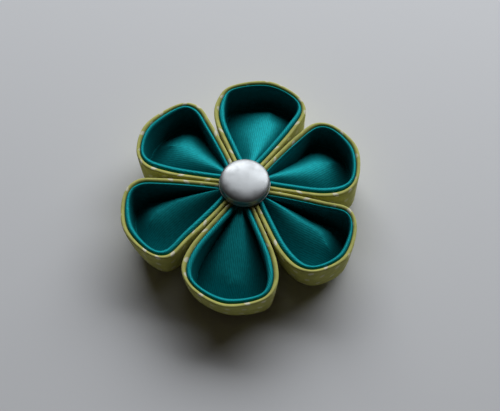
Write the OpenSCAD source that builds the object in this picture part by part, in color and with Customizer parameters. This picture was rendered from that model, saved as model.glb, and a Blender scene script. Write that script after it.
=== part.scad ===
// A kanzashi hairpin: six folded cloth petals round a domed metal button, on a two-pronged hair fork.
// Each petal is a cotton cup with a satin cup folded inside it. A satin tongue runs down the middle of the cup.
// Millimetres, +Z up. The flower's axis is the Z axis and the fork's prongs point to -Y.

/* [Flower] */
// Reach of the longest petal from the flower's axis
petal_reach = 36; // [33:0.5:40]
// Width of a petal from its middle line to one side, at its belly
petal_half_width = 13; // [11.5:0.25:14]
// Height of a petal from its flat base to its cotton rim
petal_height = 12; // [9:0.5:15]
// Distance of a petal's inner tip from the flower's axis
tip_radius = 2.6; // [2.2:0.1:3.2]
// Clear gap between the rims of two neighbouring petals
seam_gap = 0.3; // [0.2:0.05:0.8]
// How far a petal's straight flank leans in, from its rim down to its base
flank_lean = 1.3; // [0.5:0.1:1.6]
// How far a petal's belly leans in, from its rim down to its base
belly_lean = 0.9; // [0:0.1:2]
// How far a petal's outer end leans in, from its rim down to its base
end_lean = 2.2; // [0:0.1:3.5]
// How far all the petals' bases sit to +X of their rims, because the flower is pressed a little to one side
base_shift = 1.1; // [0:0.1:2]
// Radius of the rounded fold at the foot of a petal's walls
foot_fold = 1.1; // [0.6:0.1:1.4]

/* [Cloth] */
// Thickness of the folded cotton wall
cotton_wall = 1.0; // [0.8:0.05:1.3]
// Radius of the rounding along the cotton's folded rim
cotton_rim = 0.3; // [0.2:0.05:0.4]
// Thickness of the folded satin wall and of its rolled rim
satin_wall = 1.3; // [1:0.05:1.5]
// Clear gap between the cotton and the satin
cloth_gap = 0.12; // [0.1:0.01:0.25]
// How far the satin roll stands above the cotton rim
satin_rise = 0.4; // [0:0.05:0.8]

/* [Button] */
// Diameter of the button
button_diameter = 14; // [12:0.5:16]
// Height of the button's upright edge
button_edge = 1.5; // [1:0.1:2.5]
// Height of the button's dome above its edge
button_dome = 1.7; // [1:0.1:3]
// Height of the small lip round the button's foot
lip_height = 0.4; // [0.3:0.05:0.6]
// How far the button's edge steps in above the lip
lip_step = 0.2; // [0.1:0.05:0.4]
// Length of the post under the button
post_length = 6; // [4:0.5:8]
// Clear gap between the post and the petals' tips
post_clearance = 0.5; // [0.3:0.1:0.9]
// Clear gap between the button's flat back and the satin rolls
button_seat = 0.15; // [0.1:0.05:0.3]

/* [Hair fork] */
// Diameter of the fork's wire, at its bend and its legs
wire_diameter = 1.6; // [1.4:0.1:2.4]
// Diameter of the thinner straight prongs
prong_diameter = 1.2; // [1:0.1:1.3]
// Distance between the middles of the two prongs
prong_spacing = 12; // [10:0.5:16]
// How far the prongs reach in front of the flower's axis, without their tapered ends
prong_reach = 27; // [22:0.5:34]
// How far in front of the plate's edge the legs start to narrow
narrowing_start = 0.5; // [0.5:0.25:3]
// Length over which a leg narrows to its prong
narrowing_length = 1; // [0.5:0.25:2]
// How far the fork's bend reaches behind the flower's axis
bend_reach = 15; // [12:0.5:20]
// Length of the tapered end of each prong
taper_length = 2; // [1:0.5:4]
// Diameter of the blunt end of each taper
taper_end = 0.6; // [0.4:0.1:1]
// Diameter of the round plate that the petals are glued to
plate_diameter = 24; // [20:0.5:30]
// Thickness of the plate
plate_thickness = 1.2; // [0.8:0.1:2]
// How deep the prongs are sunk into the plate
plate_sink = 0.3; // [0.2:0.05:0.6]
// Thickness of the glue line between the plate and the petals
glue_line = 0.15; // [0.1:0.05:0.3]

/* [Hidden] */
petal_count = 6;
petal_numbers = [for (k = [1 : petal_count]) k];
$fn = 64;

// A row for each petal, counter-clockwise from the one at 30 degrees from +X.
// SEAM turns the seam on the petal's right side from its even place, in degrees.
// REACH is a share of petal_reach, the other columns are shares of petal_half_width.
// BELLY and SHOULDER are the half widths at the belly and the shoulder, APEX is how far the
// outermost point lies to the left. L and R are the left and the right side, seen from the axis.
// END is this petal's share of end_lean and LEAN its share of belly_lean.
SEAM = 0;
REACH = 1;
BELLY_R = 2;
SHOULDER_R = 3;
APEX = 4;
SHOULDER_L = 5;
BELLY_L = 6;
END = 7;
LEAN = 8;
petals = [
    [-1.0, 0.94,  0.85, 0.56,  0.10, 0.72, 0.96, 0.7, 0.6],
    [-0.8, 0.975, 1.05, 0.78, -0.12, 0.65, 0.90, 1.0, 1.0],
    [ 2.4, 0.94,  0.98, 0.75,  0.06, 0.64, 0.91, 0.8, 0.4],
    [ 2.2, 0.97,  0.94, 0.68,  0.04, 0.72, 1.00, 0.9, 2.0],
    [-0.6, 1.00,  0.96, 0.65,  0.02, 0.74, 0.98, 1.4, 2.0],
    [ 1.6, 0.955, 0.83, 0.57,  0.03, 0.68, 0.97, 0.8, 2.0]
];

// Where the stations of a petal's outline lie, as shares of its reach
FLANK_AT = 0.32;
HIP_AT = 0.57;
BELLY_AT = 0.76;
SHOULDER_AT = 0.91;
// The hip's half width, as a share of the room up to the seam
HIP_ROOM = 0.95;
// The shoulder faces outwards and sideways at once, so it takes this share of every lean and inset
SHOULDER_TURN = 0.6;
// Curve pieces from each station to the next, from the tip to the apex
side_steps = [2, 3, 3, 3, 4];
side_points = side_steps * [for (step = side_steps) 1];
ring_points = 2 * side_points + 1;

// How far a wall has spread from its base outline to its rim outline, by its share of the height
HEIGHT = 0;
SPREAD = 1;
wall_bulge = [[0, 0], [0.15, 0.28], [0.5, 0.66], [1, 1]];

// The satin floor along the petal. RIDGE and CREASE are the drops of the tongue's ridge and of
// the creases beside it below the rim, as shares of the cup's whole depth. BACK is the power of
// the tongue's round back: the lower it is, the broader its top and the steeper its sides.
ALONG = 0;
RIDGE = 1;
CREASE = 2;
BACK = 3;
tongue = [
    [0.15, 0.02, 0.06, 0.60],
    [0.22, 0.04, 0.20, 0.65],
    [0.30, 0.07, 0.38, 0.75],
    [0.50, 0.18, 0.68, 0.85],
    [0.70, 0.32, 0.90, 0.90],
    [0.82, 0.50, 1.00, 1.20]
];
// Where the ridge starts and ends, as shares of the petal's reach
RIDGE_FROM = 0.05;
RIDGE_TO = 0.80;
// How far the satin's rings lie from the creases to the ridge, on the tongue and on its underside
tongue_rings = [0.25, 0.6, 0.93];
underside_rings = [0.93, 0.4];
// How much the power is raised on the underside, so that the tongue's steep sides are as thick as the rest
UNDERSIDE_BACK = 0.9;
// How far the ring on the cotton's flat floor lies from its edge to its middle line
floor_ring = 0.75;
// Least half width of a petal's tip
tip_half_width = 0.15;
// Where the middle of a quarter round lies from its two faces, as a share of its radius
ROUND_MIDDLE = 1 - cos(45);
// Powers of the dome's profile. The lower they are, the steeper its side and the flatter its top.
DOME_SIDE = 0.55;
DOME_TOP = 0.85;
dome_step = 7.5;

base_z = wire_diameter - plate_sink + plate_thickness + glue_line;
satin_inset = cotton_wall + cloth_gap;
cup_inset = satin_inset + satin_wall;
cup_depth = petal_height - cup_inset;
satin_top = petal_height + satin_rise;
button_radius = button_diameter / 2;
post_radius = tip_radius - post_clearance;
button_z = base_z + satin_top + button_seat;
post_chamfer = 0.3;
wire_radius = wire_diameter / 2;
bend_y = bend_reach - prong_spacing / 2 - wire_radius;
leg_length = bend_y + plate_diameter / 2 + narrowing_start;

cotton_colour = "#b5b562";
satin_colour = "#0c6f70";
silver_colour = "#c9c9ca";
steel_colour = "#a9abad";

function mix(a, b, share) = a + (b - a) * share;
function column(table, place, value) = [for (row = table) [row[place], row[value]]];
function spread_at(height_share) = lookup(height_share, column(wall_bulge, HEIGHT, SPREAD));

// Seams and petals

function seam_angle(k) =
    360 / petal_count * k + petals[k % petal_count][SEAM];
function half_angle(k) = (seam_angle(k + 1) - seam_angle(k)) / 2;
function petal_angle(k) = (seam_angle(k + 1) + seam_angle(k)) / 2;
function reach_of(k) = petal_reach * petals[k][REACH];

// A point at x, set in from the petal's seam by the given distance
function beside_seam(k, x, inset) =
    [x, x * tan(half_angle(k)) - inset / cos(half_angle(k))];

// The tip's corner keeps a least half width, so it moves outwards as it is set in
function tip_corner(k, inset) =
    let (least = (inset / cos(half_angle(k)) + tip_half_width) / tan(half_angle(k)))
    beside_seam(k, max(tip_radius + inset - seam_gap / 2, least), inset);

// Outline stations on one side, from the tip to the shoulder. lean is 0 at the rim and 1 at the base.
function side_stations(k, belly_share, shoulder_share, lean, inset) =
    let (
        reach = reach_of(k),
        belly = petal_half_width * belly_share,
        shoulder = petal_half_width * shoulder_share,
        seam = seam_gap / 2 + lean * flank_lean,
        belly_in = lean * belly_lean * petals[k][LEAN] + inset,
        end_in = lean * end_lean * petals[k][END] + inset,
        hip = beside_seam(k, reach * HIP_AT, seam + inset),
        hip_cut = (1 - HIP_ROOM) * reach * HIP_AT * tan(half_angle(k))
    )
    [
        tip_corner(k, seam + inset),
        beside_seam(k, reach * FLANK_AT, seam + inset),
        [hip.x, hip.y - hip_cut],
        [reach * BELLY_AT, belly - belly_in],
        [reach * SHOULDER_AT - SHOULDER_TURN * end_in, shoulder - SHOULDER_TURN * belly_in]
    ];

// All stations of one outline: out along the right side, the apex, back along the left side
function stations(k, lean, inset) =
    let (
        row = petals[k],
        right = side_stations(k, row[BELLY_R], row[SHOULDER_R], lean, inset),
        left = side_stations(k, row[BELLY_L], row[SHOULDER_L], lean, inset),
        apex = [
            reach_of(k) - lean * end_lean * row[END] - inset,
            petal_half_width * row[APEX]
        ]
    )
    concat(
        [for (p = right) [p.x, -p.y]],
        [apex],
        [for (i = [len(left) - 1 : -1 : 0]) left[i]]
    );

// One point of a Catmull-Rom curve between b and c
function curve_point(a, b, c, d, t) =
    0.5 * (2 * b + (c - a) * t + (2 * a - 5 * b + 4 * c - d) * t * t
        + (3 * b - a - 3 * c + d) * t * t * t);
function steps_after(j) =
    side_steps[min(j, 2 * len(side_steps) - 1 - j)];

// The smooth outline of a petal, lean 0 at the rim and 1 at the base, set in by the given distance
function outline(k, lean, inset) =
    let (
        s = stations(k, lean, inset),
        last = len(s) - 1,
        ends = concat([2 * s[0] - s[1]], s, [2 * s[last] - s[last - 1]])
    )
    concat(
        [
            for (j = [0 : last - 1], i = [0 : steps_after(j) - 1])
            curve_point(ends[j], ends[j + 1], ends[j + 2], ends[j + 3], i / steps_after(j))
        ],
        [s[last]]
    );

// Rings of points round a petal, all with the same number of points

function level(z) = [for (i = [1 : ring_points]) z];
function wall_ring(k, heights, inset) =
    let (
        base = outline(k, 1, inset),
        rim = outline(k, 0, inset),
        shift = base_shift * [cos(petal_angle(k)), -sin(petal_angle(k))]
    )
    [
        for (i = [0 : ring_points - 1])
        let (p = mix(base[i] + shift, rim[i], spread_at(heights[i] / petal_height)))
        [p.x, p.y, heights[i]]
    ];

// The middle line of the cup: each point of a ring and its mate across the petal share one place there
function ridge_x(k, x) = mix(RIDGE_FROM * reach_of(k), RIDGE_TO * reach_of(k), x / reach_of(k));
function toward_ridge(k, ring, share) =
    [
        for (i = [0 : ring_points - 1])
        let (p = ring[i], middle = (p + ring[ring_points - 1 - i]) / 2)
        mix(p, [ridge_x(k, middle.x), middle.y, p.z], share)
    ];

// Heights of the satin's ridge or creases, above the petal's base. The floor is as thick as the walls.
function tongue_value(k, x, value) = lookup(x / reach_of(k), column(tongue, ALONG, value));
function satin_height(k, x, drop) = cup_inset + cup_depth * (1 - tongue_value(k, x, drop));
function crease_heights(k) =
    [for (p = outline(k, 0, cup_inset)) satin_height(k, p.x, CREASE)];
function tongue_ring(k, share, raised_back = 0) =
    let (
        crease = wall_ring(k, crease_heights(k), cup_inset),
        moved = toward_ridge(k, crease, share)
    )
    [
        for (i = [0 : ring_points - 1])
        let (
            p = moved[i],
            ridge = max(p.z, satin_height(k, p.x, RIDGE)),
            back = tongue_value(k, crease[i].x, BACK) + raised_back,
            way_up = pow(sin(90 * share), back)
        )
        [p.x, p.y, mix(p.z, ridge, way_up)]
    ];
function lowered(ring, drop) = [for (p = ring) [p.x, p.y, p.z - drop]];
function raised(heights, rise) = [for (z = heights) z + rise];

// A solid from closed rings that lead from its underside, up its outside and down its inside.
// Each end is closed by a strip of faces between the ring's right and left side.
module loft(rings) {
    n = ring_points;
    last = (len(rings) - 1) * n;
    strip = [for (i = [0 : side_points - 2]) each [[i, i + 1, n - 2 - i], [i, n - 2 - i, n - 1 - i]]];
    cap = concat(strip, [[side_points - 1, side_points, side_points + 1]]);
    sides = [
        for (j = [0 : len(rings) - 2], i = [0 : n - 1])
        let (a = j * n + i, b = j * n + (i + 1) % n)
        each [[a, a + n, b + n], [a, b + n, b]]
    ];
    polyhedron(
        points = [for (ring = rings) each ring],
        faces = concat(cap, sides, [for (f = cap) [f[2] + last, f[1] + last, f[0] + last]]),
        convexity = 8
    );
}

module on_petal(k) {
    translate([0, 0, base_z]) rotate([0, 0, petal_angle(k)]) children();
}

module outer_petal(k) {
    w = cotton_wall;
    f = foot_fold;
    m = ROUND_MIDDLE * foot_fold;
    h = petal_height;
    foot = wall_ring(k, level(0), f);
    floor_edge = wall_ring(k, level(w), w + f);
    color(cotton_colour) on_petal(k) loft([
        toward_ridge(k, foot, floor_ring),
        foot,
        wall_ring(k, level(m), m),
        wall_ring(k, level(f), 0),
        wall_ring(k, level(h / 2), 0),
        wall_ring(k, level(h - cotton_rim), 0),
        wall_ring(k, level(h), cotton_rim),
        wall_ring(k, level(h), w - cotton_rim),
        wall_ring(k, level(h - cotton_rim), w),
        wall_ring(k, level(h / 2), w),
        wall_ring(k, level(w + f), w),
        wall_ring(k, level(w + m), w + m),
        floor_edge,
        toward_ridge(k, floor_edge, floor_ring)
    ]);
}

module inner_petal(k) {
    w = satin_wall;
    f = foot_fold;
    out = satin_inset;
    foot_m = ROUND_MIDDLE * foot_fold;
    roll_m = ROUND_MIDDLE * satin_wall / 2;
    crease = crease_heights(k);
    foot = raised(crease, -w);
    roll = level(satin_top - w / 2);
    color(satin_colour) on_petal(k) loft(concat(
        [for (share = underside_rings) lowered(tongue_ring(k, share, UNDERSIDE_BACK), w)],
        [
            wall_ring(k, foot, out + f),
            wall_ring(k, raised(foot, foot_m), out + foot_m),
            wall_ring(k, raised(foot, f), out),
            wall_ring(k, mix(raised(foot, f), roll, 0.5), out),
            wall_ring(k, roll, out),
            wall_ring(k, level(satin_top - roll_m), out + roll_m),
            wall_ring(k, level(satin_top), out + w / 2),
            wall_ring(k, level(satin_top - roll_m), out + w - roll_m),
            wall_ring(k, roll, out + w),
            wall_ring(k, mix(crease, roll, 0.5), out + w),
            wall_ring(k, crease, out + w)
        ],
        [for (share = tongue_rings) tongue_ring(k, share)]
    ));
}

// The button: a flat back with a post, a small lip, an upright edge and a soft dome
module button() {
    edge_radius = button_radius - lip_step;
    lip_bevel = lip_height / 3;
    dome = [
        for (a = [0 : dome_step : 90])
        [edge_radius * pow(cos(a), DOME_SIDE), button_edge + button_dome * pow(sin(a), DOME_TOP)]
    ];
    color(silver_colour) translate([0, 0, button_z]) rotate_extrude() polygon(concat(
        [
            [0, -post_length],
            [post_radius - post_chamfer, -post_length],
            [post_radius, post_chamfer - post_length],
            [post_radius, 0],
            [edge_radius, 0],
            [button_radius, lip_bevel],
            [button_radius, lip_height - lip_bevel],
            [edge_radius, lip_height]
        ],
        dome
    ));
}

// The hair fork: a bend, two legs that narrow to straight tapered prongs, and the plate under the petals

module fork_side(side) {
    prong_radius = prong_diameter / 2;
    prong_end = bend_y + prong_reach;
    translate([side * prong_spacing / 2, bend_y, wire_radius]) rotate([90, 0, 0])
        rotate_extrude() polygon([
            [0, 0],
            [wire_radius, 0],
            [wire_radius, leg_length],
            [prong_radius, leg_length + narrowing_length],
            [prong_radius, prong_end],
            [taper_end / 2, prong_end + taper_length],
            [0, prong_end + taper_length]
        ]);
}

module hair_pin() {
    color(steel_colour) union() {
        fork_side(-1);
        fork_side(1);
        translate([0, bend_y, wire_radius]) rotate_extrude(angle = 180)
            translate([prong_spacing / 2, 0]) circle(r = wire_radius);
        translate([0, 0, wire_diameter - plate_sink])
            cylinder(d = plate_diameter, h = plate_thickness);
    }
}

for (k = petal_numbers) {
    outer_petal(k - 1);
    inner_petal(k - 1);
}
button();
hair_pin();
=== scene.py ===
"""A kanzashi hairpin: a flower of folded cloth petals round a domed metal button, on a two-pronged fork."""
import math

import bmesh
import bpy
import numpy as np
from bpy.props import FloatProperty, FloatVectorProperty, PointerProperty
from mathutils import Matrix, Vector


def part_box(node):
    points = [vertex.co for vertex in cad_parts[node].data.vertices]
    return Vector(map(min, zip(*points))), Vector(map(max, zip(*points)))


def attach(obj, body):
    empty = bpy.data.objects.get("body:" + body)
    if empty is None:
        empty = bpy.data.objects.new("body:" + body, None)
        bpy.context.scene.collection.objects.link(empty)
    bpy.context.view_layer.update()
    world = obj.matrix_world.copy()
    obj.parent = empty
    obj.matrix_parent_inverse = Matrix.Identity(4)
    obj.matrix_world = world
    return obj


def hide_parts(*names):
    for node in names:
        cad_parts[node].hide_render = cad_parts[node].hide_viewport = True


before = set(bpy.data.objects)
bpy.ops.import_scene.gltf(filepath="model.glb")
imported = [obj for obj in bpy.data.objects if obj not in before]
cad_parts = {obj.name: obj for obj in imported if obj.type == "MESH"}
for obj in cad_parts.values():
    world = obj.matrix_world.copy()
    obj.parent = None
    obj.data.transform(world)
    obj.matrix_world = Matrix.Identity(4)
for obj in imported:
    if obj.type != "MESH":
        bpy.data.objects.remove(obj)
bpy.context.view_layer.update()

bl_info = {
    "name": "Kanzashi hairpin",
    "version": (1, 0, 0),
    "blender": (4, 5, 0),
    "location": "3D View > Sidebar > Hairpin",
    "description": "Builds a hairpin with a flower of folded cloth petals round a metal button",
    "category": "Object",
}

MM = 0.001
PETAL_COUNT = 6

# A row for each petal, counter-clockwise from the one at 30 degrees from +X. R and L are its right and left
# side, seen from the flower's axis.
# SEAM turns the seam on the petal's right side from its even place, in degrees.
# REACH is a share of the petals' reach, and BELLY, SHOULDER and APEX are shares of their half width.
# END and LEAN are shares of the outer end's and the belly's lean.
# ASIDE is how far the tongue's ridge bows to the right, as a share of the way to the seam.
# ROLL is the width of the satin's roll on each side and at the outer end, as a share of its full width.
SEAM, REACH, BELLY_R, SHOULDER_R, APEX, SHOULDER_L, BELLY_L = range(7)
END, LEAN, ASIDE, ROLL_R, ROLL_END, ROLL_L = range(7, 13)
PETALS = (
    (-1.0, 0.94, 0.85, 0.56, 0.10, 0.72, 0.96, 0.7, 0.6, -0.12, 1.0, 0.8, 0.45),
    (-0.8, 0.975, 1.05, 0.78, -0.12, 0.65, 0.90, 1.0, 1.0, 0.2, 1.0, 0.45, 1.0),
    (2.4, 0.94, 0.98, 0.75, 0.06, 0.67, 0.91, 0.8, 0.4, 0.0, 0.75, 0.85, 1.0),
    (2.2, 0.97, 0.94, 0.68, 0.04, 0.72, 1.00, 0.9, 2.0, 0.45, 0.55, 1.0, 1.0),
    (-0.6, 1.00, 0.96, 0.65, 0.02, 0.74, 0.98, 1.4, 2.0, 0.1, 1.0, 0.95, 1.0),
    (1.6, 0.955, 0.83, 0.57, 0.03, 0.68, 0.97, 0.8, 2.0, -0.22, 1.0, 0.85, 0.4),
)

# Where the stations of a petal's outline lie, as shares of its reach
FLANK_AT = 0.32
HIP_AT = 0.57
BELLY_AT = 0.76
SHOULDER_AT = 0.91
# The hip's half width as a share of the room up to the seam
HIP_ROOM = 0.95
# The shoulder's share of every lean and inset
SHOULDER_TURN = 0.6
# Curve steps from each station to the next, from the tip to the apex
SIDE_STEPS = (10, 15, 15, 15, 22)
SIDE_POINTS = sum(SIDE_STEPS)
RING_POINTS = 2 * SIDE_POINTS + 1
# Where each point of a ring lies: from -1 at the tip along the right side to 0 at the apex, and back to 1
AROUND = np.linspace(-1, 1, RING_POINTS)

# How far a wall has spread from its base outline to its rim outline: share of the height, share of the way
BULGE = ((0.0, 0.0), (0.15, 0.28), (0.5, 0.66), (1.0, 1.0))
# The satin's floor along the petal. Its first column is the place, as a share of the reach. RIDGE and CREASE
# are how far the tongue's ridge and the creases beside it lie below the rim, as shares of the depth. BACK is
# the power of the tongue's round back: the lower it is, the broader its top and the steeper its sides.
RIDGE, CREASE, BACK = range(1, 4)
TONGUE = (
    (0.15, 0.02, 0.08, 0.60),
    (0.22, 0.04, 0.36, 0.60),
    (0.30, 0.09, 0.62, 0.60),
    (0.50, 0.26, 0.90, 0.65),
    (0.70, 0.45, 1.00, 0.85),
    (0.82, 0.59, 1.00, 1.20),
    (0.93, 0.72, 1.00, 1.50),
)
# Where the tongue's ridge starts and ends, as shares of the reach
RIDGE_FROM = 0.05
RIDGE_TO = 0.83
# On its wider side the tongue falls more gently: what the power of its back gains there for each share that
# the ridge bows aside, and how soon that sets in beside the apex
EASE = 1.8
EASE_ONSET = 4
# The least half width of a petal at its inner tip
TIP_HALF_WIDTH = 0.15 * MM
# How softly the satin turns from its wall into its floor: place along the petal, softness in mm
SOFTNESS = ((0.2, 0.15), (0.8, 0.15), (0.93, 0.25), (1.0, 0.8))

# The cotton's folded rim in section, as shares of its wall: inset from the outer face, drop below the crest
CREST = (
    (0.0, 0.50), (0.02, 0.32), (0.09, 0.15), (0.20, 0.05), (0.34, 0.0),
    (0.50, 0.0), (0.68, 0.05), (0.84, 0.16), (0.95, 0.34), (1.0, 0.55),
)
# Where the middle of its crest lies, as a share of the wall
CREST_MIDDLE = 0.4
# The waves round a rim: how many, how far on each may start, in radians, and how fast they fade to the tip
WAVE_COUNT = 3
WAVE_START = 6
WAVE_FADE = 1.6
# The first petal's seed, which the others count up from
SEED = 100
# How far the print is turned on each petal's cloth, in degrees, and the most that it is shifted
PRINT_TURN = (35, 55)
PRINT_SHIFT = 10 * MM
# Half the width of a printed dot's soft edge, in mm
DOT_BLUR = 0.2
# Spacing of a wave texture's lines at a scale of 1. A noise texture's spots are about 1 wide at that scale.
WAVE_PERIOD = 0.314
# The pigment's cover in the middle of a dot
DOT_COVER = 0.6
# How far the satin's weave lines are turned from the petal's length
RIB_TURN = math.radians(17)
# How far round the satin's roll goes, from its outer side over its top, in degrees
ROLL_TURN = 215
# The places round the rim where the roll's widths hold
ROLL_PLACES = (-0.6, -0.15, 0.15, 0.6)
# The share of its full width at which the roll is level with the cotton, and how much higher a full share is
ROLL_LEVEL = 0.85
ROLL_LIFT = 0.6 * MM
# How far below the roll's end the satin's wall begins
NECK_DROP = 0.3 * MM

# Shares of the way from a petal's foot to its middle line, for the rings under it and on the cotton's floor
UNDER_SHARES = (1, 0.7, 0.35)
FLOOR_SHARES = (0.5, 1)
# Rings of the cotton: its foot, its outer face, its inner face and the turn into its floor
COTTON_FOOT, COTTON_OUTER, COTTON_INNER, COTTON_TURN = 6, 16, 6, 4
# Rings of the satin: its foot, its outer face, its roll, and its inner face with the tongue
SATIN_FOOT, SATIN_OUTER, SATIN_ROLL, SATIN_INNER = 4, 6, 20, 100
# Points that the satin's inner face is first drawn with: down its wall, up its tongue, and evenly along both
DRAFT_WALL, DRAFT_TONGUE, DRAFT_EVEN = 60, 80, 160
# How many spreads to each side the bell curve reaches that softens the satin
BELL_REACH = 4
# Points nearer to each other than this become one
MERGED = 0.002 * MM

# Segments round the button, and rings of its lip and its dome
BUTTON_SEGMENTS = 144
LIP_RINGS = 8
DOME_RINGS = 34
# The bevel at the end of the post, and how far into its half turn the lip starts, in radians
POST_BEVEL = 0.3 * MM
LIP_START = 0.3
# Powers of the dome's profile: the lower they are, the steeper its side and the flatter its top
DOME_SIDE = 0.62
DOME_TOP = 0.85

# The camera: how far it looks down, is rolled and is turned, in degrees, and in metres its distance from the
# point that it aims at and that point's height
CAMERA_TILT = 61.83
CAMERA_ROLL = 3.48
CAMERA_TURN = 5.92
CAMERA_DISTANCE = 0.280
AIM_Z = 0.01465
LENS_MM = 74.4
SENSOR_MM = 36
CLIP_START = 0.01
# The picture's frame and the aim's place in it, in pixels
FRAME_WIDTH, FRAME_HEIGHT = 500, 411
AIM_X, AIM_Y = 244.6, 185.3
# The key light: its sides and its distance in metres, and in degrees how high it stands and how far it is
# turned from +Y to +X
KEY_SIDES = (1.2, 0.5)
KEY_DISTANCE = 0.75
KEY_ELEVATION = 38
KEY_TURN = 3
# The floor's side in metres, and how many cells it has along each
FLOOR_SIDE = 3.0
FLOOR_CELLS = 8


def length(name, description, mm, low=0.0):
    """A length property, given in millimetres and held in metres."""
    return FloatProperty(
        name=name, description=description, default=mm * MM, min=low * MM, unit="LENGTH", precision=5
    )


def linear(hex_colour):
    """An sRGB hex colour as linear red, green, blue and alpha."""
    values = [int(hex_colour[i : i + 2], 16) / 255 for i in (1, 3, 5)]
    return [v / 12.92 if v <= 0.04045 else ((v + 0.055) / 1.055) ** 2.4 for v in values] + [1.0]


def colour(name, description, hex_colour):
    """A colour property, given as an sRGB hex value and held as linear numbers."""
    return FloatVectorProperty(
        name=name, description=description, default=linear(hex_colour), size=4, subtype="COLOR", min=0, max=1
    )


class PetalSizes(bpy.types.PropertyGroup):
    reach: length("Reach", "Reach of the longest petal from the flower's axis", 36, 20)
    half_width: length("Half width", "Width of a petal from its middle to one side, at its belly", 13, 8)
    height: length("Height", "Height of a petal from its base to its cotton rim", 12, 6)
    tip_radius: length("Tip radius", "Distance of the petals' inner tips from the flower's axis", 2.6, 1)
    seam_gap: length("Seam gap", "Gap between the rims of two neighbouring petals", 0.3)
    flank_lean: length("Flank lean", "How far a straight flank leans in down to its base", 1.3)
    belly_lean: length("Belly lean", "How far a belly leans in down to its base", 0.9)
    end_lean: length("End lean", "How far an outer end leans in down to its base", 2.2)
    base_shift: length("Base shift", "How far the petals' bases sit to +X of their rims", 1.1)
    foot_fold: length("Foot fold", "Radius of the rounded fold at the foot of the walls", 1.1, 0.2)


class ClothSizes(bpy.types.PropertyGroup):
    cotton_wall: length("Cotton wall", "Thickness of the folded cotton wall", 1.15, 0.3)
    satin_wall: length("Satin wall", "Thickness of the folded satin", 1.2, 0.3)
    cloth_gap: length("Cloth gap", "Gap between the cotton and the satin", 0.12)
    satin_foot: length("Satin foot", "Thickness of the satin wall at its foot, where it is thinned", 0.5)
    roll_width: length("Roll width", "Width of the satin's soft rolled rim", 1.4, 0.3)
    roll_overhang: length("Roll overhang", "How far the satin wall stands back below its roll", 0.45)
    waviness: length("Waviness", "How far the rims wander up and down, as hand-folded cloth does", 0.12)
    dot_width: length("Dot width", "Diameter of the white pin dots printed on the cotton", 1.5, 0.1)
    dot_column: length("Dot columns", "Distance between the columns of dots", 5.3, 1)
    dot_row: length("Dot rows", "Distance between the rows of dots, each half a column aside", 3.5, 1)
    # The real weaves are finer. They are drawn as coarse as they need to be to show.
    cotton_thread: length("Cotton thread", "Thread spacing of the cotton's weave, as drawn", 0.32, 0.05)
    satin_thread: length("Satin thread", "Spacing of the satin's slanting lines, as drawn", 0.6, 0.05)
    cotton_colour: colour("Cotton", "Yellow-green ground of the printed cotton", "#b3b358")
    # The paler fold colour is partly wear and partly a painted highlight along the lit crest
    fold_wear_and_highlight_colour: colour("Fold edges", "Paler cotton along the pressed folds", "#dad892")
    dot_colour: colour("Dots", "White pigment of the printed dots", "#e9e4d4")
    satin_colour: colour("Satin", "Deep teal of the satin", "#138386")


class ButtonSizes(bpy.types.PropertyGroup):
    edge: length("Edge", "Height of the button's upright edge", 1.5)
    dome: length("Dome", "Height of the button's dome above its edge", 1.7)
    lip: length("Lip", "Height of the small lip round the button's foot", 0.4)
    lip_step: length("Lip step", "How far the edge steps in above the lip", 0.2)
    post_radius: length("Post radius", "Radius of the post under the button", 2.1)
    metal_colour: colour("Metal", "Silver plating of the button", "#adafaf")


class ForkFinish(bpy.types.PropertyGroup):
    steel_colour: colour("Steel", "Nickel-plated steel of the fork", "#b4b5b6")


class StageSettings(bpy.types.PropertyGroup):
    floor_colour: colour("Floor", "Plain pale floor", "#d6d6d6")
    key_colour: colour("Key colour", "Cool white of the large soft light", "#f5f9ff")
    room_colour: colour("Room colour", "Warm white of the light from all round", "#ffe7ce")
    key_power: FloatProperty(
        name="Key power", description="Power of the large soft light", default=9.0, min=0, unit="POWER"
    )
    fill: FloatProperty(
        name="Fill", description="Strength of the light from all round", default=0.018, min=0
    )


def table_curve(table, at):
    """A smooth curve through a table's rows of place and value, read at the given places."""
    places, values = np.array(table).T
    at = np.clip(at, places[0], places[-1])
    slopes = np.gradient(values, places)
    i = np.clip(np.searchsorted(places, at, side="right") - 1, 0, len(places) - 2)
    step = places[i + 1] - places[i]
    t = (at - places[i]) / step
    rise = values[i + 1] - values[i]
    # A cubic curve between two rows, which keeps the table's slope at both
    bend = t * (1 - t) * ((1 - t) * (slopes[i] * step - rise) - t * (slopes[i + 1] * step - rise))
    return values[i] + t * rise + bend


def table_line(table, at, column):
    """Straight lines through a table's rows, read at the given places."""
    return np.interp(at, [row[0] for row in table], [row[column] for row in table])


def mix(a, b, share):
    """The value a share of the way from a to b."""
    return a + (b - a) * share


def between(count):
    """Evenly spaced shares from 0 to 1, without 0 and 1."""
    return np.linspace(0, 1, count + 2)[1:-1]


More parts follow.
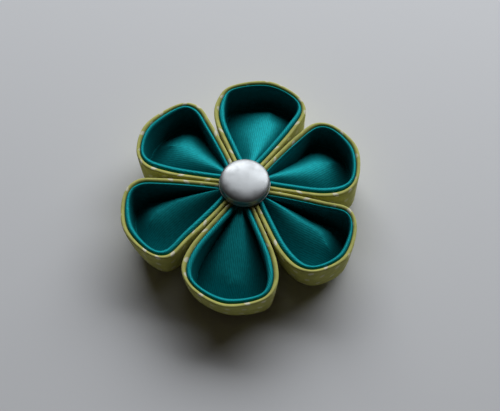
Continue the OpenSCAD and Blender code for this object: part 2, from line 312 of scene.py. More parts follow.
class PetalForm:
    """One petal's curves in its own frame, in metres: X points outwards, Z up from the petal's base."""

    def __init__(self, number, sizes):
        row = PETALS[number]
        following = PETALS[(number + 1) % PETAL_COUNT]
        step = 360 / PETAL_COUNT
        right = step * number + row[SEAM]
        left = step * (number + 1) + following[SEAM]
        self.row = row
        self.sizes = sizes
        self.half_angle = math.radians(left - right) / 2
        self.angle = math.radians(left + right) / 2
        self.reach = sizes.reach * row[REACH]
        self.random = np.random.default_rng(SEED + number)

    def beside_seam(self, x, inset):
        """The point at x that lies inset from the seam."""
        return (x, x * math.tan(self.half_angle) - inset / math.cos(self.half_angle))

    def side_stations(self, belly, shoulder, lean, inset):
        """Outline stations of one side, from tip to shoulder. lean is 0 at the rim and 1 at the base."""
        s, reach = self.sizes, self.reach
        seam = s.seam_gap / 2 + lean * s.flank_lean + inset
        least = (seam / math.cos(self.half_angle) + TIP_HALF_WIDTH) / math.tan(self.half_angle)
        hip_x, hip_y = self.beside_seam(reach * HIP_AT, seam)
        hip_cut = (1 - HIP_ROOM) * reach * HIP_AT * math.tan(self.half_angle)
        belly_in = lean * s.belly_lean * self.row[LEAN] + inset
        end_in = lean * s.end_lean * self.row[END] + inset
        shoulder_x = reach * SHOULDER_AT - SHOULDER_TURN * end_in
        shoulder_y = s.half_width * shoulder - SHOULDER_TURN * belly_in
        return [
            self.beside_seam(max(s.tip_radius + seam - s.seam_gap / 2, least), seam),
            self.beside_seam(reach * FLANK_AT, seam),
            (hip_x, hip_y - hip_cut),
            (reach * BELLY_AT, s.half_width * belly - belly_in),
            (shoulder_x, shoulder_y),
        ]

    def outline(self, lean, inset):
        """The petal's outline as a row of points, from the tip along its right, round the apex and back."""
        row, s = self.row, self.sizes
        right = self.side_stations(row[BELLY_R], row[SHOULDER_R], lean, inset)
        left = self.side_stations(row[BELLY_L], row[SHOULDER_L], lean, inset)
        apex = (self.reach - lean * s.end_lean * row[END] - inset, s.half_width * row[APEX])
        stations = np.array([(x, -y) for x, y in right] + [apex] + left[::-1])
        ends = np.vstack([2 * stations[0] - stations[1], stations, 2 * stations[-1] - stations[-2]])
        steps = SIDE_STEPS + SIDE_STEPS[::-1]
        pieces = []
        for j, count in enumerate(steps):
            a, b, c, d = ends[j : j + 4]
            # A cubic curve from b to c, whose slope at each follows from the stations beside it
            t = (np.arange(count) / count)[:, None]
            slope = (c - a) * t
            bend = (2 * a - 5 * b + 4 * c - d) * t**2
            twist = (3 * b - a - 3 * c + d) * t**3
            pieces.append(0.5 * (2 * b + slope + bend + twist))
        return np.vstack(pieces + [stations[-1:]])

    def wall(self, heights, inset):
        """A ring of points on the wall, at the given heights above the base."""
        heights = np.broadcast_to(heights, RING_POINTS)
        shift = self.sizes.base_shift * np.array([math.cos(self.angle), -math.sin(self.angle)])
        spread = table_curve(BULGE, heights / self.sizes.height)[:, None]
        plan = mix(self.outline(1, inset) + shift, self.outline(0, inset), spread)
        return np.column_stack([plan, heights])

    def toward_ridge(self, ring, share):
        """The ring moved by a share of the way to the petal's middle line."""
        middle = (ring + ring[::-1]) / 2
        ridge_x = mix(RIDGE_FROM * self.reach, RIDGE_TO * self.reach, middle[:, 0] / self.reach)
        bow = self.row[ASIDE] * math.tan(self.half_angle) * ridge_x * (1 - (ridge_x / self.reach) ** 2)
        goal = np.column_stack([ridge_x, middle[:, 1] - bow, ring[:, 2]])
        return mix(ring, goal, share)

    def waves(self):
        """A gentle wander round the ring, from -1 to 1, that dies out towards the tip."""
        total = np.zeros(RING_POINTS)
        for turns in range(1, WAVE_COUNT + 1):
            size = self.random.uniform(-1, 1)
            start = self.random.uniform(0, WAVE_START)
            total += size * np.sin(math.pi * turns * AROUND + start) / WAVE_COUNT
        return total * np.clip(WAVE_FADE * (1 - np.abs(AROUND)), 0, 1)

    def ring_lengths(self):
        """How far along the rim each ring point lies from the apex."""
        rim = self.outline(0, 0)
        steps = np.concatenate([[0], np.cumsum(np.linalg.norm(np.diff(rim, axis=0), axis=1))])
        return steps - steps[SIDE_POINTS]


def place(form, rings, base_z):
    """The rings turned to the petal's place in the flower and lifted onto its base."""
    c, s = math.cos(form.angle), math.sin(form.angle)
    turned = rings.copy()
    turned[..., 0] = c * rings[..., 0] - s * rings[..., 1]
    turned[..., 1] = s * rings[..., 0] + c * rings[..., 1]
    turned[..., 2] += base_z
    return turned


def section_lengths(rings):
    """How far along its section each point lies, from the first ring on."""
    steps = np.linalg.norm(np.diff(rings, axis=0), axis=2)
    return np.concatenate([np.zeros((1, rings.shape[1])), np.cumsum(steps, axis=0)])


def laid_flat(form, rings):
    """Where each point lies on the flat cloth: every section is unrolled outwards from the petal's ridge."""
    ridge = rings[-1, :, :2]
    outwards = form.outline(0, 0) - ridge
    outwards /= np.linalg.norm(outwards, axis=1, keepdims=True)
    from_ridge = section_lengths(rings[::-1])[::-1]
    flat = ridge + from_ridge[..., None] * outwards
    c, s = math.cos(RIB_TURN), math.sin(RIB_TURN)
    along, across = flat[..., 0], flat[..., 1]
    return np.stack([c * along + s * across, c * across - s * along, np.zeros(along.shape)], axis=-1)


def ring_mesh(name, rings):
    """A mesh of four-sided faces through rings of points, from the first ring to the last."""
    count, around = rings.shape[:2]
    index = np.arange(count * around).reshape(count, around)
    following = np.roll(index, -1, axis=1)
    faces = np.stack([index[:-1], index[1:], following[1:], following[:-1]], axis=-1).reshape(-1, 4)
    mesh = bpy.data.meshes.new(name)
    mesh.from_pydata(rings.reshape(-1, 3).tolist(), [], faces.tolist())
    return mesh


def smooth_piece(name, mesh, material):
    """Joins the mesh where its points meet, and adds it to the scene as a smooth piece with its material."""
    shape = bmesh.new()
    shape.from_mesh(mesh)
    bmesh.ops.remove_doubles(shape, verts=shape.verts, dist=MERGED)
    bmesh.ops.recalc_face_normals(shape, faces=shape.faces)
    shape.to_mesh(mesh)
    shape.free()
    mesh.shade_smooth()
    mesh.materials.append(material)
    piece = bpy.data.objects.new(name, mesh)
    bpy.context.scene.collection.objects.link(piece)
    return piece


def cloth_piece(name, rings, cloth, material):
    """A closed cloth shell through the rings, whose first and last ring are each folded onto a middle line.
    cloth holds each point's place on the flat cloth in millimetres, for the weave and the print."""
    mesh = ring_mesh(name, rings)
    place_on_cloth = mesh.attributes.new("cloth", "FLOAT_VECTOR", "POINT")
    place_on_cloth.data.foreach_set("vector", cloth.reshape(-1).astype(np.float32))
    return smooth_piece(name, mesh, material)


def add_node(tree, kind, links=None, **settings):
    """Adds a node with its settings. links gives its inputs, as values or as another node's output."""
    node = tree.nodes.new(kind)
    for name, value in settings.items():
        setattr(node, name, value)
    for name, value in (links or {}).items():
        if isinstance(value, bpy.types.NodeSocket):
            tree.links.new(value, node.inputs[name])
        else:
            node.inputs[name].default_value = value
    return node


def new_material(name):
    """A material and its empty node tree."""
    material = bpy.data.materials.new(name)
    material.use_nodes = True
    material.node_tree.nodes.clear()
    return material, material.node_tree


def add_surface(tree, links):
    """Adds the surface's shader with its inputs, and the material's output."""
    surface = add_node(tree, "ShaderNodeBsdfPrincipled", links)
    add_node(tree, "ShaderNodeOutputMaterial", {"Surface": surface.outputs[0]})


def mix_colours(tree, share, first, second):
    """Adds a mix of two colours, and gives the mixed one. 6 and 7 are the node's sockets for colours."""
    return add_node(tree, "ShaderNodeMix", {0: share, 6: first, 7: second}, data_type="RGBA").outputs[2]


def dot_print(tree, cloth, place_on_cloth):
    """Adds the printed pin dots, whose places wander a little. Gives how much pigment covers each point."""
    # Noise less its middle value moves each dot both ways, by up to half of the swing, in mm
    middle, swing = (0.5, 0.5, 0.5), (0.5, 0.5, 0)
    wander = add_node(
        tree, "ShaderNodeTexNoise", {"Vector": place_on_cloth, "Scale": 1 / 1.11, "Detail": 2.0}
    )
    both_ways = add_node(
        tree, "ShaderNodeVectorMath", {0: wander.outputs["Color"], 1: middle}, operation="SUBTRACT"
    )
    moved = add_node(
        tree, "ShaderNodeVectorMath", {0: both_ways.outputs[0], 1: swing, 2: place_on_cloth},
        operation="MULTIPLY_ADD",
    )
    # Two lattices of dots, the second shifted by half a column and one row. The third coordinate is too
    # small to be wrapped, and is dropped.
    half_x, half_y = cloth.dot_column / MM / 2, cloth.dot_row / MM
    distances = []
    for shift in ((0, 0, 0), (half_x, half_y, 0)):
        shifted = add_node(tree, "ShaderNodeVectorMath", {0: moved.outputs[0], 1: shift}, operation="ADD")
        wrapped = add_node(
            tree, "ShaderNodeVectorMath",
            {0: shifted.outputs[0], 1: (half_x, half_y, 100), 2: (-half_x, -half_y, -100)}, operation="WRAP",
        )
        flat = add_node(
            tree, "ShaderNodeVectorMath", {0: wrapped.outputs[0], 1: (1, 1, 0)}, operation="MULTIPLY"
        )
        distance = add_node(tree, "ShaderNodeVectorMath", {0: flat.outputs[0]}, operation="LENGTH")
        distances.append(distance.outputs["Value"])
    nearest = add_node(tree, "ShaderNodeMath", dict(enumerate(distances)), operation="MINIMUM")
    dot_radius = cloth.dot_width / MM / 2
    dot = add_node(
        tree, "ShaderNodeMapRange",
        {"Value": nearest.outputs[0], "From Min": dot_radius + DOT_BLUR, "From Max": dot_radius - DOT_BLUR,
         "To Min": 0.0, "To Max": DOT_COVER},
        interpolation_type="SMOOTHSTEP",
    )
    return dot.outputs["Result"]


def plain_weave(tree, cloth, place_on_cloth):
    """Adds threads that cross each way at the weave's spacing. Gives their height."""
    threads = []
    for direction in ("X", "Y"):
        thread = add_node(
            tree, "ShaderNodeTexWave",
            {"Vector": place_on_cloth, "Scale": WAVE_PERIOD / (cloth.cotton_thread / MM), "Distortion": 0.6,
             "Detail": 1.0, "Detail Scale": 2.0},
            wave_type="BANDS", bands_direction=direction,
        )
        threads.append(thread.outputs["Fac"])
    return add_node(tree, "ShaderNodeMath", dict(enumerate(threads)), operation="MULTIPLY").outputs[0]


def printed_cotton(cloth):
    """Plain-woven quilting cotton, printed with white pin dots, pressed and folded.
    The eye sees a matt yellow-green with a fine thread texture, slightly faded dots and paler fold edges,
    which are partly wear and partly a painted highlight."""
    material, tree = new_material("printed_cotton")
    place_on_cloth = add_node(tree, "ShaderNodeAttribute", attribute_name="cloth").outputs["Vector"]
    # The third coordinate holds the distance from the folded rim's crest, in mm
    from_crest = add_node(tree, "ShaderNodeSeparateXYZ", {"Vector": place_on_cloth}).outputs["Z"]
    # Paler cotton near the crest: partly wear, partly a painted highlight where the folded crest catches the
    # light
    worn_and_highlit_crest = add_node(
        tree, "ShaderNodeMapRange",
        {"Value": from_crest, "From Min": 0.6, "From Max": 0.1, "To Min": 0.0, "To Max": 0.22},
        interpolation_type="SMOOTHSTEP",
    )
    plain, paler, pigment = (tuple(c) for c in (cloth.cotton_colour, cloth.fold_wear_and_highlight_colour, cloth.dot_colour))
    ground = mix_colours(tree, worn_and_highlit_crest.outputs["Result"], plain, paler)
    # The dots look fainter down the walls than on the rim
    shown = add_node(
        tree, "ShaderNodeMapRange",
        {"Value": from_crest, "From Min": 0.8, "From Max": 2.5, "To Min": 1.15, "To Max": 0.6},
    )
    dot = add_node(
        tree, "ShaderNodeMath", {0: dot_print(tree, cloth, place_on_cloth), 1: shown.outputs["Result"]},
        operation="MULTIPLY",
    )
    printed = mix_colours(tree, dot.outputs[0], ground, pigment)
    weave = plain_weave(tree, cloth, place_on_cloth)
    mottle = add_node(
        tree, "ShaderNodeTexNoise", {"Vector": place_on_cloth, "Scale": 1 / 2.86, "Detail": 4.0}
    )
    thread_share = 0.22
    shade = add_node(
        tree, "ShaderNodeMath", {0: weave, 1: thread_share, 2: mottle.outputs["Fac"]},
        operation="MULTIPLY_ADD",
    )
    bright = add_node(
        tree, "ShaderNodeMapRange",
        {"Value": shade.outputs[0], "From Min": 0.3, "From Max": 0.9, "To Min": 0.76, "To Max": 1.2},
    )
    shaded = add_node(
        tree, "ShaderNodeVectorMath", {0: printed, "Scale": bright.outputs["Result"]}, operation="SCALE"
    )
    bump = add_node(tree, "ShaderNodeBump", {"Height": weave, "Strength": 0.35, "Distance": 0.05 * MM})
    add_surface(
        tree,
        {"Base Color": shaded.outputs[0], "Roughness": 0.88, "Specular IOR Level": 0.3, "IOR": 1.47,
         "Sheen Weight": 0.15, "Sheen Roughness": 0.6, "Sheen Tint": linear("#f3f3cb"),
         "Normal": bump.outputs["Normal"]},
    )
    return material


def polyester_satin(cloth):
    """Satin-woven polyester, dyed deep teal, folded and rolled at its rim.
    The eye sees a smooth dark cloth with a soft sheen in the dye's colour and faint slanting weave lines."""
    material, tree = new_material("polyester_satin")
    place_on_cloth = add_node(tree, "ShaderNodeAttribute", attribute_name="cloth").outputs["Vector"]
    weave = add_node(
        tree, "ShaderNodeTexWave",
        {"Vector": place_on_cloth, "Scale": WAVE_PERIOD / (cloth.satin_thread / MM), "Distortion": 2.2,
         "Detail": 2.0, "Detail Scale": 2.5},
        wave_type="BANDS", bands_direction="Y",
    )
    # Streaks 1.1 mm long and 0.4 mm wide
    drawn_out = add_node(
        tree, "ShaderNodeMapping", {"Vector": place_on_cloth, "Scale": (1 / 1.11, 1 / 0.417, 1)}
    )
    streaks = add_node(
        tree, "ShaderNodeTexNoise", {"Vector": drawn_out.outputs[0], "Scale": 1.0, "Detail": 3.0}
    )
    line_share = 0.5
    shade = add_node(
        tree, "ShaderNodeMath", {0: weave.outputs["Fac"], 1: line_share, 2: streaks.outputs["Fac"]},
        operation="MULTIPLY_ADD",
    )
    bright = add_node(
        tree, "ShaderNodeMapRange",
        {"Value": shade.outputs[0], "From Min": 0.3, "From Max": 1.2, "To Min": 0.66, "To Max": 1.32},
    )
    dyed = add_node(
        tree, "ShaderNodeVectorMath", {0: tuple(cloth.satin_colour)[:3], "Scale": bright.outputs["Result"]},
        operation="SCALE",
    )
    bump = add_node(
        tree, "ShaderNodeBump", {"Height": shade.outputs[0], "Strength": 0.5, "Distance": 0.06 * MM}
    )
    add_surface(
        tree,
        {"Base Color": dyed.outputs[0], "Roughness": 0.5, "Metallic": 0.45, "IOR": 1.57,
         "Specular IOR Level": 0.1, "Specular Tint": linear("#59e1e7"), "Sheen Weight": 0.15,
         "Sheen Roughness": 0.35, "Sheen Tint": linear("#3fe1ed"), "Normal": bump.outputs["Normal"]},
    )
    return material


def satin_plating(button):
    """Pressed brass with satin silver plating, as on cap buttons.
    The eye sees a smooth grey metal with soft reflections and the faintest haze of fine scratches."""
    material, tree = new_material("satin_silver_plating")
    place_in_space = add_node(tree, "ShaderNodeTexCoord").outputs["Object"]
    haze = add_node(
        tree, "ShaderNodeTexNoise", {"Vector": place_in_space, "Scale": 1 / (3.85 * MM), "Detail": 5.0}
    )
    rough = add_node(
        tree, "ShaderNodeMapRange",
        {"Value": haze.outputs["Fac"], "From Min": 0.3, "From Max": 0.7, "To Min": 0.38, "To Max": 0.62},
    )
    grain = add_node(
        tree, "ShaderNodeTexNoise", {"Vector": place_in_space, "Scale": 1 / (0.25 * MM), "Detail": 2.0}
    )
    bump = add_node(
        tree, "ShaderNodeBump", {"Height": grain.outputs["Fac"], "Strength": 0.12, "Distance": 0.01 * MM}
    )
    add_surface(
        tree,
        {"Base Color": tuple(button.metal_colour), "Metallic": 1.0, "Roughness": rough.outputs["Result"],
         "Normal": bump.outputs["Normal"]},
    )
    return material


def drawn_steel(fork):
    """Drawn steel wire and a punched steel plate, nickel-plated.
    The eye sees a cool grey metal with drawing marks on the wire and cloudy patches from soldering."""
    material, tree = new_material("drawn_nickel_steel")
    place_in_space = add_node(tree, "ShaderNodeTexCoord").outputs["Object"]
    mark_length, mark_width = 3.33 * MM, 0.111 * MM
    along = add_node(
        tree, "ShaderNodeMapping",
        {"Vector": place_in_space, "Scale": (1 / mark_width, 1 / mark_length, 1 / mark_width)},
    )
    marks = add_node(tree, "ShaderNodeTexNoise", {"Vector": along.outputs[0], "Scale": 1.0, "Detail": 3.0})
    clouds = add_node(
        tree, "ShaderNodeTexNoise", {"Vector": place_in_space, "Scale": 1 / (2.86 * MM), "Detail": 4.0}
    )
    rough = add_node(
        tree, "ShaderNodeMapRange",
        {"Value": clouds.outputs["Fac"], "From Min": 0.3, "From Max": 0.7, "To Min": 0.25, "To Max": 0.45},
    )
    bump = add_node(
        tree, "ShaderNodeBump", {"Height": marks.outputs["Fac"], "Strength": 0.2, "Distance": 0.02 * MM}
    )
    add_surface(
        tree,
        {"Base Color": tuple(fork.steel_colour), "Metallic": 1.0, "Roughness": rough.outputs["Result"],
         "Normal": bump.outputs["Normal"]},
    )
    return material


def painted_floor(stage):
    """Matt painted board. The eye sees an even pale grey with a slight tooth."""
    material, tree = new_material("painted_board")
    place_in_space = add_node(tree, "ShaderNodeTexCoord").outputs["Object"]
    tooth = add_node(
        tree, "ShaderNodeTexNoise", {"Vector": place_in_space, "Scale": 1 / (1.11 * MM), "Detail": 3.0}
    )
    bump = add_node(
        tree, "ShaderNodeBump", {"Height": tooth.outputs["Fac"], "Strength": 0.1, "Distance": 0.05 * MM}
    )
    add_surface(
        tree,
        {"Base Color": tuple(stage.floor_colour), "Roughness": 0.9, "Specular IOR Level": 0.2,
         "Normal": bump.outputs["Normal"]},
    )
    return material


def foot_rings(form, height, inset, count):
    """Rings of the rounded fold at the foot of a wall, from its flat to its upright end."""
    fold = form.sizes.foot_fold
    return [
        form.wall(height + fold * (1 - math.cos(a)), inset + fold * (1 - math.sin(a)))
        for a in np.linspace(0, math.pi / 2, count)
    ]


def cotton_rings(form, cloth):
    """Rings of the cotton cup: from its underside, up the outside, over the folded rim and down inside.
    Gives the rings, and the line along the middle of the rim's crest."""
    wall, fold = cloth.cotton_wall, form.sizes.foot_fold
    crest = form.sizes.height + cloth.waviness * form.waves()
    foot = form.wall(0, fold)
    floor = form.wall(wall, wall + fold)
    rings = [form.toward_ridge(foot, share) for share in UNDER_SHARES]
    rings += foot_rings(form, 0, 0, COTTON_FOOT)
    top = crest - CREST[0][1] * wall
    rings += [form.wall(mix(fold, top, share), 0) for share in between(COTTON_OUTER)]
    rings += [form.wall(crest - drop * wall, inset * wall) for inset, drop in CREST]
    bottom = crest - CREST[-1][1] * wall
    rings += [form.wall(mix(bottom, wall + fold, share), wall) for share in between(COTTON_INNER)]
    rings += foot_rings(form, wall, wall, COTTON_TURN)[::-1]
    rings += [form.toward_ridge(floor, share) for share in FLOOR_SHARES]
    return np.array(rings), form.wall(crest, CREST_MIDDLE * wall)


def satin_height(form, cloth, x, column):
    """Height above the base of the satin's ridge or creases, at x along the petal."""
    floor = cloth.cotton_wall + cloth.cloth_gap + cloth.satin_wall
    depth = form.sizes.height - floor
    return floor + depth * (1 - table_line(TONGUE, x / form.reach, column))


def tongue_ring(form, cloth, crease, share):
    """The crease ring moved a share of the way to the ridge, on the tongue's round back."""
    ring = form.toward_ridge(crease, share)
    ridge = np.maximum(ring[:, 2], satin_height(form, cloth, ring[:, 0], RIDGE))
    aside = form.row[ASIDE]
    wider = np.clip(AROUND * aside * EASE_ONSET, 0, 1)
    back = table_line(TONGUE, crease[:, 0] / form.reach, BACK) + EASE * abs(aside) * wider
    way_up = math.sin(math.pi / 2 * share) ** back
    ring[:, 2] = mix(ring[:, 2], ridge, way_up)
    return ring


def even_steps(paths, count):
    """Each path, a column of points, drawn again with evenly spaced points."""
    lengths = section_lengths(paths)
    even = np.empty((count, paths.shape[1], 3))
    for i in range(paths.shape[1]):
        at = np.linspace(0, lengths[-1, i], count)
        for axis in range(3):
            even[:, i, axis] = np.interp(at, lengths[:, i], paths[:, i, axis])
    return even


def softened(paths, softness):
    """Each path smoothed over its own softness, with its ends held."""
    count = len(paths)
    steps = section_lengths(paths)[-1] / (count - 1)
    soft = paths.copy()
    for i, spread in enumerate(softness / steps):
        side = min(int(BELL_REACH * spread) + 1, count - 1)
        weights = np.exp(-0.5 * (np.arange(-side, side + 1) / spread) ** 2)
        weights /= weights.sum()
        start = 2 * paths[0, i] - paths[side:0:-1, i]
        end = 2 * paths[-1, i] - paths[-2 : -side - 2 : -1, i]
        padded = np.vstack([start, paths[:, i], end])
        for axis in range(3):
            soft[:, i, axis] = np.convolve(padded[:, axis], weights, mode="valid")
    return soft


def satin_rings(form, cloth):
    """Rings of the satin cup: from its underside, up outside, over the roll, down and up the tongue."""
    wall, fold = cloth.satin_wall, form.sizes.foot_fold
    outside = cloth.cotton_wall + cloth.cloth_gap
    foot = outside + cloth.satin_foot
    radius = wall / 2
    width = np.interp(AROUND, ROLL_PLACES, [form.row[i] for i in (ROLL_R, ROLL_END, ROLL_END, ROLL_L)])
    top = form.sizes.height + (width - ROLL_LEVEL) * ROLL_LIFT + cloth.waviness * form.waves()
    roll = top - radius
    foot_x = form.outline(0, foot)[:, 0]
    crease_z = satin_height(form, cloth, foot_x, CREASE)
    crease = form.wall(crease_z, foot)
    lower = crease_z - wall
    rings = [tongue_ring(form, cloth, crease, share) - [0, 0, wall] for share in UNDER_SHARES]
    rings += foot_rings(form, lower, outside, SATIN_FOOT)
    rings += [form.wall(mix(lower + fold, roll, share), outside) for share in between(SATIN_OUTER)]
    for a in np.radians(np.linspace(0, ROLL_TURN, SATIN_ROLL)):
        height = roll + radius * math.sin(a)
        upright = form.wall(height, outside)
        rolled = form.wall(height, outside + cloth.roll_width / 2 * (1 - math.cos(a)))
        rings.append(mix(upright, rolled, width[:, None]))
    # The inner face of each point and of its mate across the petal are one path, softened in one go
    neck = rings[-1]
    start = outside + wall - cloth.roll_overhang
    face = [neck]
    for share in np.linspace(0, 1, DRAFT_WALL):
        height = mix(neck[:, 2] - NECK_DROP, crease_z, share)
        face.append(form.wall(height, mix(start, foot, share)))
    face += [tongue_ring(form, cloth, crease, share) for share in np.linspace(0, 1, DRAFT_TONGUE)[1:]]
    face = even_steps(np.array(face), DRAFT_EVEN)
    whole = np.concatenate([face, face[-2::-1, ::-1]])
    whole = softened(whole, table_curve(SOFTNESS, foot_x / form.reach) * MM)
    inner = even_steps(whole[: len(face)], SATIN_INNER)
    return np.concatenate([np.array(rings), inner[1:]])


def mark_petal(piece, node_name):
    """Hides a petal's node from model.glb and ties its piece to the root body."""
    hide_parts(node_name)
    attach(piece, "root")


class HAIRPIN_OT_outer_petals(bpy.types.Operator):
    """Builds the six cotton cups"""

    bl_idname = "hairpin.outer_petals"
    bl_label = "Outer petals"

    def execute(self, context):
        sizes, cloth = context.scene.hairpin_petals, context.scene.hairpin_cloth
        material = printed_cotton(cloth)
        for number in range(PETAL_COUNT):
            node_name = f"outer_petal_{number + 1}"
            form = PetalForm(number, sizes)
            rings, crest_line = cotton_rings(form, cloth)
            along = form.ring_lengths()
            up = section_lengths(rings)
            slant = math.radians(form.random.uniform(*PRINT_TURN))
            across = along * math.cos(slant) - up * math.sin(slant) + form.random.uniform(0, PRINT_SHIFT)
            down = along * math.sin(slant) + up * math.cos(slant) + form.random.uniform(0, PRINT_SHIFT)
            from_crest = np.linalg.norm(rings - crest_line, axis=2)
            on_cloth = np.stack([across, down, from_crest], axis=-1) / MM
            base_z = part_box(node_name)[0].z
            placed = place(form, rings, base_z)
            piece = cloth_piece(f"cotton_petal_{number + 1}", placed, on_cloth, material)
            mark_petal(piece, node_name)
        return {"FINISHED"}


class HAIRPIN_OT_inner_petals(bpy.types.Operator):
    """Builds the six satin cups with their rolled rims and tongues"""

    bl_idname = "hairpin.inner_petals"
    bl_label = "Inner petals"

    def execute(self, context):
        sizes, cloth = context.scene.hairpin_petals, context.scene.hairpin_cloth
        material = polyester_satin(cloth)
        for number in range(PETAL_COUNT):
            node_name = f"inner_petal_{number + 1}"
            form = PetalForm(number, sizes)
            rings = satin_rings(form, cloth)
            on_cloth = laid_flat(form, rings) / MM
            base_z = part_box(f"outer_petal_{number + 1}")[0].z
            placed = place(form, rings, base_z)
            piece = cloth_piece(f"satin_petal_{number + 1}", placed, on_cloth, material)
            mark_petal(piece, node_name)
        return {"FINISHED"}


def button_profile(sizes, low, high):
    """The button's half section as radius and height, from the middle of its back to the top of its dome."""
    post = sizes.post_radius
    face = (high.x - low.x) / 2 - sizes.lip_step
    back = high.z - sizes.edge - sizes.dome
    edge_z = back + sizes.edge
    profile = [(0.0, low.z), (post - POST_BEVEL, low.z), (post, low.z + POST_BEVEL)]
    profile += [(post, back), (face, back)]
    lip_z = back + sizes.lip / 2
    for a in np.linspace(LIP_START, math.pi - LIP_START, LIP_RINGS):
        profile.append((face + sizes.lip_step * math.sin(a), lip_z - sizes.lip / 2 * math.cos(a)))
    profile += [(face, back + sizes.lip), (face, mix(back + sizes.lip, edge_z, 0.5))]
    for a in np.linspace(0, math.pi / 2, DOME_RINGS)[:-1]:
        height = mix(edge_z, high.z, math.sin(a) ** DOME_TOP)
        profile.append((face * math.cos(a) ** DOME_SIDE, height))
    return profile + [(0.0, high.z)]


class HAIRPIN_OT_button(bpy.types.Operator):
    """Builds the domed metal button"""

    bl_idname = "hairpin.button"
    bl_label = "Button"

    def execute(self, context):
        sizes = context.scene.hairpin_button
        turns = np.linspace(0, 2 * math.pi, BUTTON_SEGMENTS, endpoint=False)
        profile = button_profile(sizes, *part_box("button"))
        rings = [[(radius * math.cos(a), radius * math.sin(a), z) for a in turns] for radius, z in profile]
        mesh = ring_mesh("domed_button", np.array(rings))
        piece = smooth_piece("domed_button", mesh, satin_plating(sizes))
        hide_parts("button")
        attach(piece, "root")
        return {"FINISHED"}


class HAIRPIN_OT_fork(bpy.types.Operator):
    """Gives the hair fork its finish"""

    bl_idname = "hairpin.fork"
    bl_label = "Hair fork"

    def execute(self, context):
        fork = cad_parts["hair_pin"]
        fork.data.materials.clear()
        fork.data.materials.append(drawn_steel(context.scene.hairpin_fork))
        return {"FINISHED"}


def aim_camera(camera):
    """Puts the camera where the aim point falls on its place in the picture."""
    tilt, roll, turn = (math.radians(a) for a in (CAMERA_TILT, CAMERA_ROLL, CAMERA_TURN))
    forward = Vector((0, math.cos(tilt), -math.sin(tilt)))
    right = Vector((1, 0, 0))
    up = right.cross(forward)
    right, up = math.cos(roll) * right + math.sin(roll) * up, math.cos(roll) * up - math.sin(roll) * right
    turned = Matrix.Rotation(turn, 3, "Z") @ Matrix((right, up, -forward)).transposed()
    focal = LENS_MM / SENSOR_MM * FRAME_WIDTH
    ray = Vector(((AIM_X - FRAME_WIDTH / 2) / focal, -(AIM_Y - FRAME_HEIGHT / 2) / focal, -1))
    place_at = Vector((0, 0, AIM_Z)) - turned @ ray * CAMERA_DISTANCE
    camera.matrix_world = Matrix.Translation(place_at) @ turned.to_4x4()


def add_floor(stage):
    """Adds the plain floor."""
    bpy.ops.mesh.primitive_grid_add(x_subdivisions=FLOOR_CELLS, y_subdivisions=FLOOR_CELLS, size=FLOOR_SIDE)
    floor = bpy.context.active_object
    floor.name = "floor"
    floor.data.materials.append(painted_floor(stage))


def add_key_light(scene, stage):
    """Adds the large soft light, turned to the flower."""
    key = bpy.data.objects.new("key_light", bpy.data.lights.new("key_light", "AREA"))
    key.data.shape = "RECTANGLE"
    key.data.size, key.data.size_y = KEY_SIDES
    key.data.energy = stage.key_power
    key.data.color = stage.key_colour[:3]
    scene.collection.objects.link(key)
    elevation, turn = math.radians(KEY_ELEVATION), math.radians(KEY_TURN)
    away = Vector((
        math.sin(turn) * math.cos(elevation), math.cos(turn) * math.cos(elevation), math.sin(elevation),
    ))
    key.location = away * KEY_DISTANCE
    key.rotation_mode = "QUATERNION"
    key.rotation_quaternion = away.to_track_quat("Z", "Y")


def light_room(scene, stage):
    """Gives the scene its faint light from all round."""
    world = bpy.data.worlds.new("room")
    world.use_nodes = True
    background = world.node_tree.nodes["Background"]
    background.inputs["Color"].default_value = tuple(stage.room_colour)
    background.inputs["Strength"].default_value = stage.fill
    scene.world = world


def add_camera(scene):
    """Adds the camera that sees the flower as the picture does."""
    camera = bpy.data.objects.new("camera", bpy.data.cameras.new("camera"))
    camera.data.lens, camera.data.sensor_width = LENS_MM, SENSOR_MM
    camera.data.clip_start = CLIP_START
    scene.collection.objects.link(camera)
    aim_camera(camera)
    scene.camera = camera


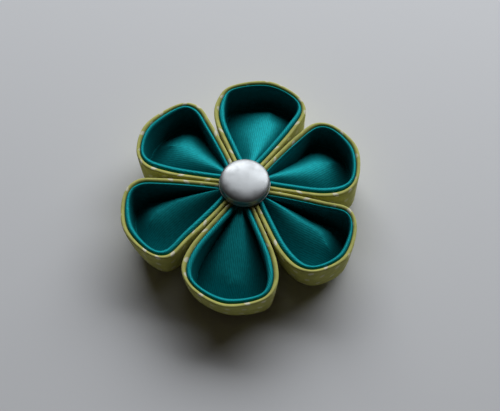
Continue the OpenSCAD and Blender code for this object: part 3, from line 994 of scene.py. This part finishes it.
class HAIRPIN_OT_stage(bpy.types.Operator):
    """Sets the floor, the lights and the camera"""

    bl_idname = "hairpin.stage"
    bl_label = "Stage"

    def execute(self, context):
        scene, stage = context.scene, context.scene.hairpin_stage
        add_floor(stage)
        add_key_light(scene, stage)
        light_room(scene, stage)
        add_camera(scene)
        scene.view_settings.view_transform = "Standard"
        return {"FINISHED"}


class HAIRPIN_PT_panel(bpy.types.Panel):
    """Lists the hairpin's sizes and the steps that build it"""

    bl_label = "Kanzashi hairpin"
    bl_idname = "HAIRPIN_PT_panel"
    bl_space_type = "VIEW_3D"
    bl_region_type = "UI"
    bl_category = "Hairpin"

    def draw(self, context):
        for title, settings_name, _, operators in SECTIONS:
            settings = getattr(context.scene, settings_name)
            box = self.layout.box()
            box.label(text=title)
            for key in type(settings).__annotations__:
                box.prop(settings, key)
            for operator in operators:
                box.operator(operator.bl_idname)


# The panel's boxes: the title, the settings' name on the scene and their class, and the operators
SECTIONS = (
    ("Petals", "hairpin_petals", PetalSizes, ()),
    ("Cloth", "hairpin_cloth", ClothSizes, (HAIRPIN_OT_outer_petals, HAIRPIN_OT_inner_petals)),
    ("Button", "hairpin_button", ButtonSizes, (HAIRPIN_OT_button,)),
    ("Fork", "hairpin_fork", ForkFinish, (HAIRPIN_OT_fork,)),
    ("Stage", "hairpin_stage", StageSettings, (HAIRPIN_OT_stage,)),
)
CLASSES = (
    *(group for _, _, group, _ in SECTIONS),
    *(operator for _, _, _, operators in SECTIONS for operator in operators),
    HAIRPIN_PT_panel,
)


def register():
    """Registers the classes and puts the settings on the scene."""
    for cls in CLASSES:
        bpy.utils.register_class(cls)
    for _, settings_name, group, _ in SECTIONS:
        setattr(bpy.types.Scene, settings_name, PointerProperty(type=group))


def unregister():
    """Takes the settings and the classes away again."""
    for _, settings_name, _, _ in SECTIONS:
        delattr(bpy.types.Scene, settings_name)
    for cls in reversed(CLASSES):
        bpy.utils.unregister_class(cls)


def main():
    """Builds the whole hairpin on its stage."""
    register()
    bpy.ops.hairpin.outer_petals()
    bpy.ops.hairpin.inner_petals()
    bpy.ops.hairpin.button()
    bpy.ops.hairpin.fork()
    bpy.ops.hairpin.stage()


if __name__ == "__main__":
    main()
